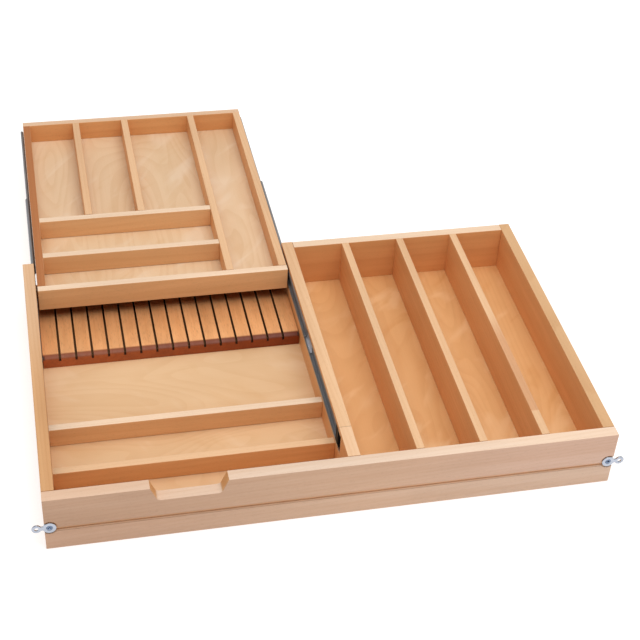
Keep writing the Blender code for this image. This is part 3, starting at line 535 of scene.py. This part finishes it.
def make_boards():
    for node, (grain, top, side, seed, figure, zone) in BOARDS.items():
        material = beech(f"{node}_beech", grain, top, side, seed, figure, zone)
        also = scoop_rim if node == "front_board" else None
        eased_board(node, grain, material, also=also)
    for node, (grain, tone, seed, contrast, blotch) in PANELS.items():
        material = birch_ply(f"{node}_birch", grain, tone, seed, contrast, blotch)
        eased_board(node, grain, material, radius=0.0004)


def scoop_rim(edge):
    """Edges of the hand scoop in the front and inner faces of the front board."""
    low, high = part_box("front_board")
    flat = [key for axis, key in box_sides(edge, low, high) if axis == 1]
    lowest = min(vertex.co.z for vertex in edge.verts)
    return bool(flat) and high.z - SCOOP_REACH < lowest <= high.z - 1e-5


def make_knife_block():
    """The block, its front round stretched back over its top and the edges of its kerfs broken."""
    shape = cad_shape("knife_block")
    low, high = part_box("knife_block")
    for vertex in shape.verts:
        rise = vertex.co.y - low.y
        if rise < BLOCK_ROUND + 1e-5 and vertex.co.z > high.z - BLOCK_ROUND - 1e-5:
            vertex.co.y = low.y + ROUND_STRETCH * rise

    def kerf_edge(edge):
        first, second = (vertex.co for vertex in edge.verts)
        return (abs(first.x - second.x) < 1e-6 and abs(first.y - second.y) > 0.05
                and min(first.z, second.z) > high.z - 1e-5)

    round_edges(shape, 0.0004, 2, kerf_edge)
    piece("knife_block", shape, block_wood("knife_block_hardwood", low, high))


# ---------------------------------------------------------------- steel slides

BEND_STEPS = 4
SLOT_STEPS = 16
SCREW_STEPS = 32


def rounded(points, radius):
    """A polyline with each inner corner turned into a small curve."""
    points = [Vector(point) for point in points]
    result = [points[0]]
    for before, corner, after in zip(points, points[1:], points[2:]):
        reach = min(radius, 0.45 * (before - corner).length, 0.45 * (after - corner).length)
        start = corner + (before - corner).normalized() * reach
        end = corner + (after - corner).normalized() * reach
        for step in range(BEND_STEPS + 1):
            share = step / BEND_STEPS
            result.append(start.lerp(corner, share).lerp(corner.lerp(end, share), share))
    result.append(points[-1])
    return result


def sheet_outline(spine, thickness):
    """The closed outline of a bent sheet of metal round its middle line."""
    near, far = [], []
    for index, point in enumerate(spine):
        before = spine[max(index - 1, 0)]
        after = spine[min(index + 1, len(spine) - 1)]
        along = (after - before).normalized()
        across = Vector((-along.y, along.x)) * thickness / 2
        near.append(point + across)
        far.append(point - across)
    return near + far[::-1]


def extruded(outline, start, end):
    """A shape with an XZ outline, from Y start to Y end."""
    shape = bmesh.new()
    first = [shape.verts.new((point[0], start, point[1])) for point in outline]
    second = [shape.verts.new((point[0], end, point[1])) for point in outline]
    shape.faces.new(first)
    shape.faces.new(reversed(second))
    for index in range(len(outline)):
        after = (index + 1) % len(outline)
        shape.faces.new((first[after], first[index], second[index], second[after]))
    return shape


def turned(profile, steps, turn):
    """Revolve (radius, height) points about Z, then turn.  The profile starts and ends on the axis."""
    shape = bmesh.new()
    rings = []
    for radius, height in profile:
        count = steps if radius > 0.0 else 1
        ring = []
        for step in range(count):
            angle = 2.0 * math.pi * step / steps
            point = Vector((radius * math.cos(angle), radius * math.sin(angle), height))
            ring.append(shape.verts.new(turn @ point))
        rings.append(ring)
    for lower, upper in zip(rings, rings[1:]):
        for step in range(steps):
            after = (step + 1) % steps
            corners = [lower[step % len(lower)], lower[after % len(lower)],
                       upper[after % len(upper)], upper[step % len(upper)]]
            shape.faces.new(list(dict.fromkeys(corners)))
    return shape


def carved(shape, cutter, operation="DIFFERENCE"):
    """The shape less the cutter, as a new shape.  Both are used up."""
    items = []
    for part in (shape, cutter):
        bmesh.ops.recalc_face_normals(part, faces=part.faces)
        mesh = bpy.data.meshes.new("carving")
        part.to_mesh(mesh)
        part.free()
        item = bpy.data.objects.new("carving", mesh)
        bpy.context.scene.collection.objects.link(item)
        items.append(item)
    modifier = items[0].modifiers.new("carve", "BOOLEAN")
    modifier.operation = operation
    modifier.solver = "EXACT"
    modifier.object = items[1]
    evaluated = items[0].evaluated_get(bpy.context.evaluated_depsgraph_get())
    result = bmesh.new()
    result.from_mesh(evaluated.to_mesh())
    for item in items:
        mesh = item.data
        bpy.data.objects.remove(item)
        bpy.data.meshes.remove(mesh)
    return result


def cross_cutter(size, depth, turn):
    """A tapering cross that a screwdriver fits, its mouth at the origin and its point down -Z."""
    shape = bmesh.new()
    rings = []
    for height, spread in ((0.0005, 1.08), (-depth * 0.5, 0.78), (-depth, 0.30)):
        arm = size * spread
        half = size * 0.26 * (0.7 + 0.3 * spread)
        outline = [(arm, -half), (arm, half), (half, half), (half, arm), (-half, arm), (-half, half),
                   (-arm, half), (-arm, -half), (-half, -half), (-half, -arm), (half, -arm), (half, -half)]
        rings.append([shape.verts.new(turn @ Vector((x, y, height))) for x, y in outline])
    shape.faces.new(rings[0])
    shape.faces.new(reversed(rings[-1]))
    for upper, lower in zip(rings, rings[1:]):
        for index in range(len(upper)):
            after = (index + 1) % len(upper)
            shape.faces.new((upper[index], upper[after], lower[after], lower[index]))
    return shape


def screw_piece(node, axis, head, material):
    """A wood screw with a cross-driven head.  axis points from the tip to the head.

    head is "flat" for a countersunk head, or "pan".
    """
    low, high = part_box(node)
    centre = (low + high) / 2
    axis = Vector(axis)
    along = max(range(3), key=lambda index: abs(axis[index]))
    across = [index for index in range(3) if index != along]
    radius = (high - low)[across[0]] / 2
    length = (high - low)[along]
    mouth = centre.copy()
    mouth[along] = high[along] if axis[along] > 0 else low[along]
    turn = Matrix.Translation(mouth) @ axis.to_track_quat("Z", "Y").to_matrix().to_4x4()
    shank = radius * 0.5
    profile = [(0.0, -length), (shank * 0.35, -length * 0.93), (shank, -length * 0.72)]
    if head == "flat":
        profile += [(shank, -radius * 0.72), (radius * 0.97, -radius * 0.14), (radius, -radius * 0.08),
                    (radius * 0.96, -radius * 0.02), (radius * 0.8, 0.0), (0.0, 0.0)]
    else:
        height = radius * 0.56
        profile += [(shank, -height), (radius * 0.95, -height), (radius, -height * 0.85),
                    (radius * 0.98, -height * 0.50), (radius * 0.84, -height * 0.16),
                    (radius * 0.6, -height * 0.03), (0.0, 0.0)]
    shape = carved(turned(profile, SCREW_STEPS, turn), cross_cutter(radius * 0.56, radius * 0.5, turn))
    piece(node, shape, material, sharp=30.0)


STEEL = 0.0011                  # thickness of the members
BEND = 0.0011                   # radius of their bends
OUTER_BACK = 0.0003             # from the groove's floor to the outer member's back
END_ROUND = 0.006               # how far the outer member's front corners are set back
CAGE_STEEL = 0.0004
CAGE_BEND = 0.0008
BALL_RADIUS = {"outer": 0.0012, "inner": 0.0011}
BALLS_IN_ROW = {"outer": 8, "inner": 6}
BUMPER_PLATE = 0.0012           # thickness of the bumper's low plate
BUMPER_PLATE_HALF = 0.0090      # half its height
BUMPER_BLOCK = 0.0145           # length of its raised block
BUMPER_ROUND = 0.0016
BUMPER_SLIT_HALF = 0.0005
INNER_SLOTS = 9


class SlideSpace:
    """Depth from the groove's floor, and height from the slide's middle, as X and Z."""

    def __init__(self, side):
        low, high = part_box(f"{side}_slide_outer")
        self.side = side
        self.sign = 1.0 if side == "left" else -1.0
        self.floor = (low.x if side == "left" else high.x) - self.sign * OUTER_BACK
        self.middle = (low.z + high.z) / 2
        self.half = (high.z - low.z) / 2

    def at(self, depth, height):
        return (self.floor + self.sign * depth, self.middle + height)

    def section(self, spine, thickness=STEEL, bend=BEND):
        """The outline of a symmetrical bent section, from its upper half's middle line past the web."""
        upper = [Vector(point) for point in spine]
        lower = [Vector((point.x, -point.y)) for point in reversed(upper)]
        bent = rounded(lower + upper, bend)
        return [self.at(*point) for point in sheet_outline(bent, thickness)]


def web_slots(space, depth, stations, length, radius):
    """One cutter of rounded slots through a web, at these places along Y."""
    shape = bmesh.new()
    low = space.floor + space.sign * (depth - 0.004)
    high = space.floor + space.sign * (depth + 0.0015)
    for y in stations:
        outline = []
        for step in range(SLOT_STEPS):
            angle = 2.0 * math.pi * step / SLOT_STEPS
            shift = length / 2 if math.cos(angle) > 0.0 else -length / 2
            outline.append((y + shift + radius * math.cos(angle), space.middle + radius * math.sin(angle)))
        rings = [[shape.verts.new((x, *point)) for point in outline] for x in (low, high)]
        shape.faces.new(rings[0])
        shape.faces.new(reversed(rings[1]))
        for index in range(SLOT_STEPS):
            after = (index + 1) % SLOT_STEPS
            shape.faces.new((rings[0][after], rings[0][index], rings[1][index], rings[1][after]))
    return shape


def make_slides():
    steel = plated_steel("slide_plating", ZINC, 0.42, metallic=0.45)
    screw_steel = plated_steel("screw_plating", BRIGHT_ZINC, 0.28)
    ball_steel = plated_steel("ball_steel", BRIGHT_ZINC, 0.15)
    cage_steel = plated_steel("cage_plating", BRIGHT_ZINC, 0.35, metallic=0.6)
    plastic = moulded_plastic("bumper_moulding", BLACK)
    for side in ("left", "right"):
        space = SlideSpace(side)
        make_outer(space, steel, ball_steel)
        make_middle(space, steel)
        make_inner(space, steel)
        make_bumper(space, plastic)
        for which in ("outer", "inner"):
            make_ball_cage(space, which, cage_steel, ball_steel)
        for number in (1, 2, 3):
            screw_piece(f"{side}_outer_screw_{number}", (space.sign, 0.0, 0.0), "flat", screw_steel)
        for number in (1, 2):
            screw_piece(f"{side}_inner_screw_{number}", (-space.sign, 0.0, 0.0), "pan", screw_steel)


def stations_of(side, which, count):
    """Where a member's screws stand along Y."""
    places = []
    for number in range(1, count + 1):
        low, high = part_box(f"{side}_{which}_screw_{number}")
        places.append((low.y + high.y) / 2)
    return places


def make_outer(space, material, highlight_steel):
    """The member let into the wall.  Its lips are notched for the bumper, and bright in front of it."""
    node = f"{space.side}_slide_outer"
    low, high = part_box(node)
    web = OUTER_BACK + STEEL / 2
    tip = abs(high.x - low.x) + OUTER_BACK - STEEL / 2
    top = space.half - STEEL / 2
    spine = [(web, top - 0.0026), (web + 0.0016, top), (tip - 0.0010, top), (tip, top - 0.0012),
             (tip - 0.0004, top - 0.0027)]
    screws = stations_of(space.side, "outer", 3)
    shape = extruded(space.section(spine), low.y, high.y)
    shape = carved(shape, web_slots(space, web, screws, 0.0, 0.0036))
    between = [(first + second) / 2 + shift for first, second in zip(screws, screws[1:])
               for shift in (-0.055, 0.0, 0.055)]
    shape = carved(shape, web_slots(space, web, between, 0.006, 0.0022))
    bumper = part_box(f"{space.side}_slide_bumper")[0].y
    for half in (-space.half, space.half):
        near = web + 0.0010
        far = tip + 0.0020
        corners = [(near, half * 0.60), (far, half * 0.60), (far, half * 1.20), (near, half * 1.20)]
        notch = extruded([space.at(*corner) for corner in corners], bumper - 0.0002,
                         bumper + BUMPER_BLOCK + 0.0005)
        shape = carved(shape, notch)
    for vertex in shape.verts:
        if vertex.co.y < low.y + 0.0001:
            vertex.co.y += END_ROUND * (abs(vertex.co.z - space.middle) / space.half) ** 4
    # painted highlight: the faces in front of the bumper take the bright ball steel
    for face in shape.faces:
        if face.calc_center_median().y < bumper:
            face.material_index = 1
    item = piece(node, shape, material)
    item.data.materials.append(highlight_steel)


def make_middle(space, material):
    node = f"{space.side}_slide_middle"
    low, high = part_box(node)
    near, far = depths(space, low, high)
    web = near + STEEL / 2
    tip = far - STEEL / 2
    top = (high.z - low.z) / 2 - STEEL / 2
    spine = [(web, top - 0.0026), (web + 0.0012, top - 0.0004), (web + 0.0024, top - 0.0004),
             (tip - 0.0008, top), (tip, top - 0.0010), (tip - 0.0004, top - 0.0022)]
    piece(node, extruded(space.section(spine), low.y, high.y), material)


def make_inner(space, material):
    node = f"{space.side}_slide_inner"
    low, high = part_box(node)
    near, far = depths(space, low, high)
    web = far - STEEL / 2
    tip = near + STEEL / 2
    top = (high.z - low.z) / 2 - STEEL / 2
    spine = [(web, top - 0.0022), (web - 0.0014, top), (tip + 0.0010, top), (tip, top - 0.0012),
             (tip + 0.0003, top - 0.0026)]
    screws = stations_of(space.side, "inner", 2)
    shape = extruded(space.section(spine), low.y, high.y)
    shape = carved(shape, web_slots(space, web + 0.0015, screws, 0.0, 0.0020))
    pitch = (screws[1] - screws[0]) / (INNER_SLOTS + 1)
    between = [screws[0] + pitch * (index + 1) for index in range(INNER_SLOTS)]
    shape = carved(shape, web_slots(space, web + 0.0015, between, 0.004, 0.0021))
    piece(node, shape, material)


def depths(space, low, high):
    """The least and the greatest depth of a box."""
    both = [space.sign * (x - space.floor) for x in (low.x, high.x)]
    return min(both), max(both)


def make_bumper(space, material):
    """The stop: a low plate on the channel's web, and on it a slit block as high as the channel."""
    node = f"{space.side}_slide_bumper"
    low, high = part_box(node)
    seat, face = depths(space, low, high)
    plate = seat + BUMPER_PLATE

    def slab(start, end, half, front, back):
        corners = [(start, -half), (end, -half), (end, half), (start, half)]
        shape = extruded([space.at(*corner) for corner in corners], front, back)
        bmesh.ops.recalc_face_normals(shape, faces=shape.faces)
        return shape

    block = slab(plate - 0.0004, face, space.half - 0.0003, low.y, low.y + BUMPER_BLOCK)
    outer = space.at(face, 0.0)[0]
    round_edges(block, BUMPER_ROUND, 4,
                lambda edge: any(abs(vertex.co.x - outer) < 1e-6 for vertex in edge.verts))
    slit = slab(plate + 0.0004, face + 0.001, BUMPER_SLIT_HALF, low.y + 0.006, high.y + 0.001)
    block = carved(block, slit)
    base = slab(seat, plate, BUMPER_PLATE_HALF, low.y, high.y)
    round_edges(base, 0.0004, 2, lambda edge: True)
    piece(node, carved(base, block, "UNION"), material)


def make_ball_cage(space, which, material, ball_material):
    """A folded strip with windows in its web, and a row of steel balls above and below."""
    node = f"{space.side}_{which}_ball_cage"
    low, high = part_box(node)
    near, far = depths(space, low, high)
    radius = BALL_RADIUS[which]
    row = (high.z - low.z) / 2 - radius
    ball_depth = far - radius
    web = near + CAGE_STEEL / 2
    spine = [(web, row - 0.0012), (web + 0.0012, row), (ball_depth + 0.6 * radius, row)]
    shape = extruded(space.section(spine, CAGE_STEEL, CAGE_BEND), low.y, high.y)
    count = BALLS_IN_ROW[which]
    pitch = (high.y - low.y) / count
    windows = [low.y + pitch * (index + 1) for index in range(count - 1)]
    shape = carved(shape, web_slots(space, web, windows, 0.010, 0.0028))
    for side in (-1.0, 1.0):
        for index in range(count):
            x, z = space.at(ball_depth, side * row)
            place = Matrix.Translation((x, low.y + pitch * (index + 0.5), z))
            ball = bmesh.ops.create_uvsphere(shape, u_segments=16, v_segments=10, radius=radius,
                                             matrix=place)
            for face in {face for vertex in ball["verts"] for face in vertex.link_faces}:
                face.material_index = 1
    item = piece(node, shape, material, sharp=60.0)
    item.data.materials.append(ball_material)


# ---------------------------------------------------------------- clips

def make_clips():
    stamped = plated_steel("clip_plating", CLIP_ZINC, 0.26, grain="X", mottle=0.08)
    screw_steel = plated_steel("clip_screw_plating", rgb(112, 126, 150), 0.24, grain="X", mottle=0.05)
    for side in ("left", "right"):
        node = f"{side}_figure8_clip"
        shape = cad_shape(node)
        round_edges(shape, 0.0004, 3, lambda edge: edge.calc_face_angle() > math.radians(50.0))
        piece(node, shape, stamped)
        screw_piece(f"{side}_clip_screw", (0.0, -1.0, 0.0), "flat", screw_steel)


# ---------------------------------------------------------------- stage, lights and camera

FLOOR_REACH = 9.0
FLOOR_DROP = 0.0004             # keeps the floor clear of the object's underside
GLOW = 0.55                     # of the floor
SKY = 0.62                      # strength of the light from all round


def make_stage():
    mesh = bpy.data.meshes.new("studio_floor")
    corners = [(x * FLOOR_REACH, y * FLOOR_REACH, 0.0) for x, y in ((-1, -1), (1, -1), (1, 1), (-1, 1))]
    mesh.from_pydata(corners, [], [(0, 1, 2, 3)])
    floor = bpy.data.objects.new("studio_floor", mesh)
    floor.location.z = -FLOOR_DROP
    bpy.context.scene.collection.objects.link(floor)
    graph = Graph("studio_floor_white")
    graph.surface(Base_Color=(0.62, 0.62, 0.62, 1.0), Roughness=0.9, Specular_IOR_Level=0.1)
    graph.surface(Emission_Color=WHITE, Emission_Strength=GLOW)
    mesh.materials.append(graph.material)

    world = bpy.data.worlds.new("studio")
    world.use_nodes = True
    background = world.node_tree.nodes["Background"]
    background.inputs["Color"].default_value = WHITE
    background.inputs["Strength"].default_value = SKY
    bpy.context.scene.world = world


def soft_light(name, place, target, size, power):
    light = bpy.data.lights.new(name, "AREA")
    light.shape = "SQUARE"
    light.size = size
    light.energy = power
    item = bpy.data.objects.new(name, light)
    item.location = place
    item.rotation_euler = (Vector(target) - Vector(place)).to_track_quat("-Z", "Y").to_euler()
    bpy.context.scene.collection.objects.link(item)


def make_camera():
    camera = bpy.data.cameras.new("photo_view")
    camera.lens = 79.55
    camera.sensor_width = 36.0
    item = bpy.data.objects.new("photo_view", camera)
    place = Matrix.Translation((-0.3943, -1.3780, 1.5435))
    heading = Matrix.Rotation(-0.249, 4, "Z")
    tilt = Matrix.Rotation(0.880, 4, "X")
    roll = Matrix.Rotation(0.066, 4, "Z")
    item.matrix_world = place @ heading @ tilt @ roll
    bpy.context.scene.collection.objects.link(item)
    bpy.context.scene.camera = item


make_camera()
make_stage()
soft_light("overhead", place=(0.12, -0.1, 2.6), target=(0.0, 0.2, 0.0), size=2.5, power=50.0)
bpy.context.scene.view_settings.view_transform = "Standard"

make_boards()
make_knife_block()
make_slides()
make_clips()
